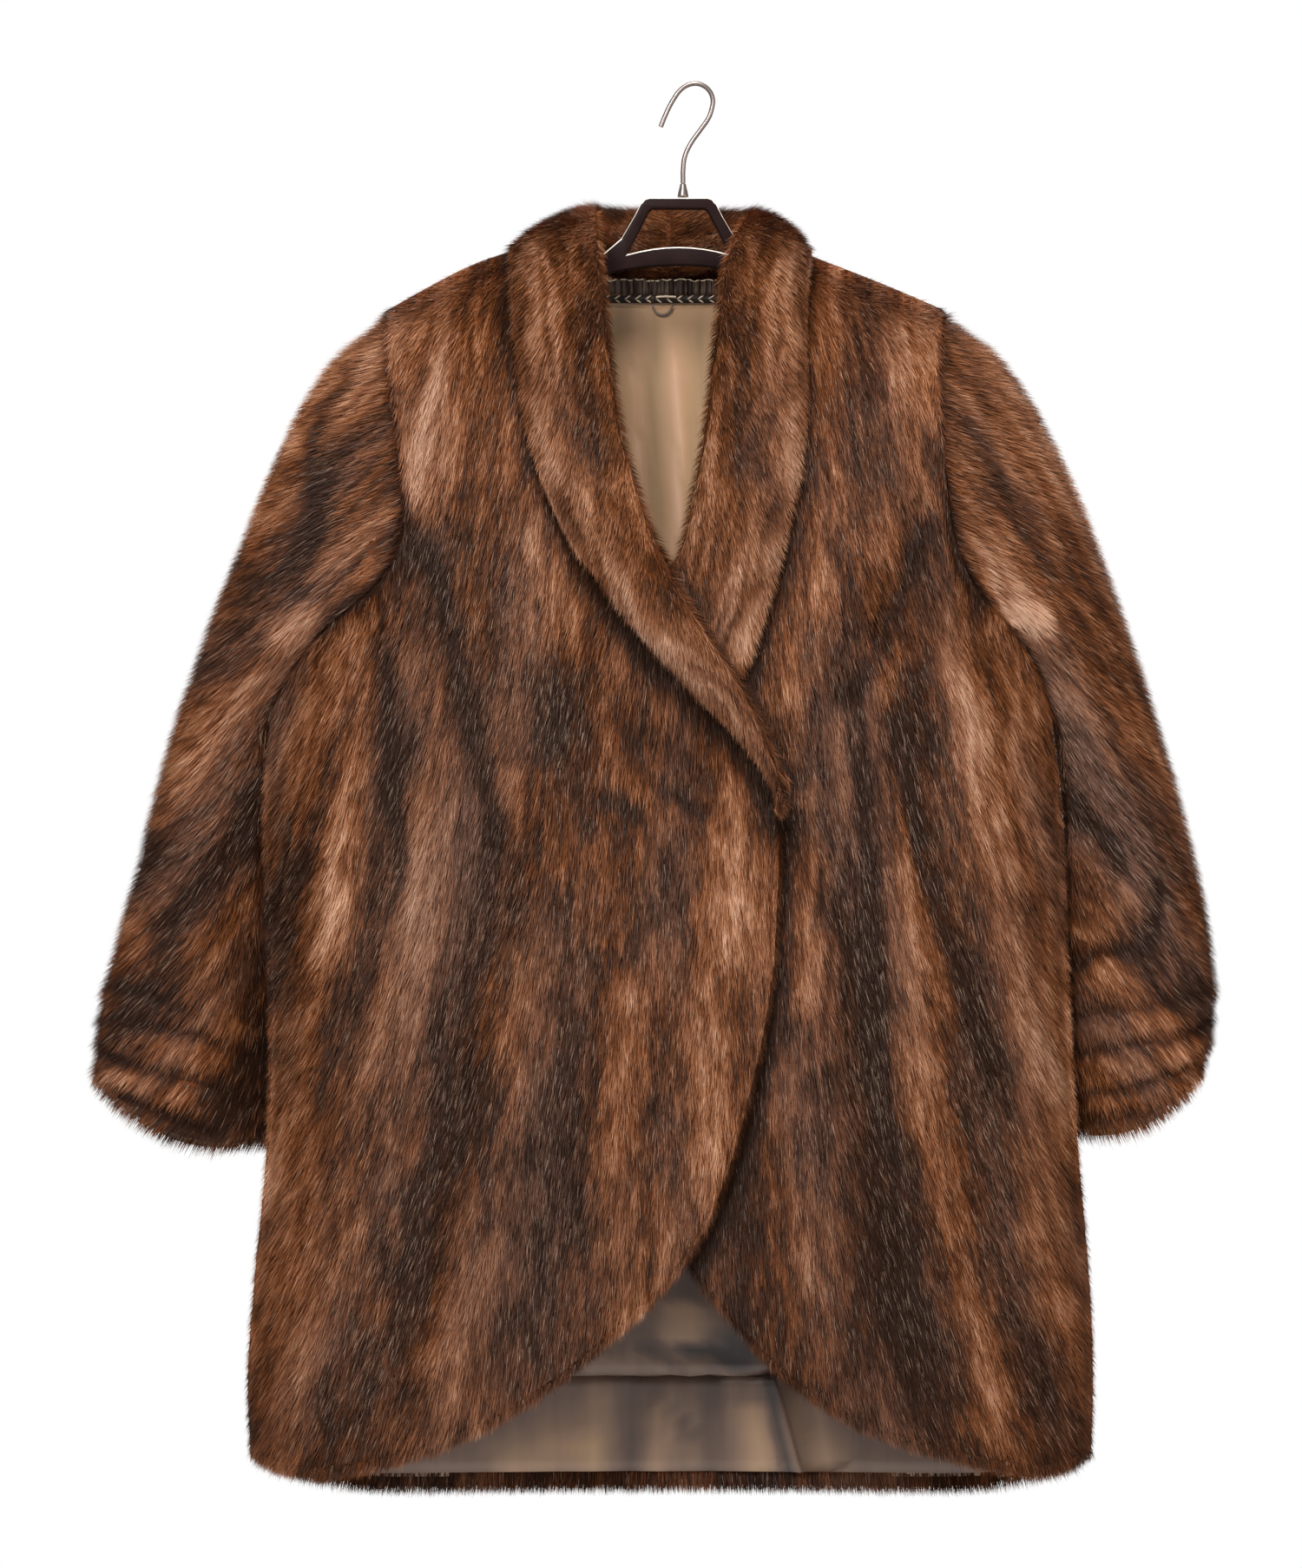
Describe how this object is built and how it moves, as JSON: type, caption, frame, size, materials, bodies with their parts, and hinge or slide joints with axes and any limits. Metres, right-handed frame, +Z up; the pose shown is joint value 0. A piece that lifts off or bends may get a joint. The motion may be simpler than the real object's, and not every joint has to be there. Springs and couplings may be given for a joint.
{
  "type": "fur coat on a hanger",
  "caption": "Knee-length fur coat with a shawl collar, overlapping rounded fronts, wide sleeves and a lined back, closed and hanging on a plastic hanger with a wire hook.",
  "frame": {"origin": "the point inside the top of the hanger's hook where a rail carries it", "axes": "+Z up, the front of the coat faces -Y, the wearer's left is +X"},
  "size_m": [0.8698, 0.2209, 1.0617],
  "materials": {
    "fur": "long glossy mahogany mink pile over leather",
    "lining": "taupe satin",
    "ribbon": "dark brown pleated ribbon and braid",
    "cord": "beige cord",
    "hanger_plastic": "glossy black-brown moulded plastic",
    "hook_steel": "bright plated steel wire"
  },
  "bodies": {
    "root": {"back": "fur", "front_right": "fur", "front_left": "fur", "sleeve_right": "fur", "sleeve_left": "fur", "collar_right": "fur", "collar_left": "fur", "back_lining": "lining", "hem_band": "lining", "neck_ruffle": "ribbon", "neck_braid": "ribbon", "hang_loop": "cord", "hanger": "hanger_plastic", "hanger_hook": "hook_steel", "hook_ferrule": "hook_steel"}
  },
  "joints": []
}
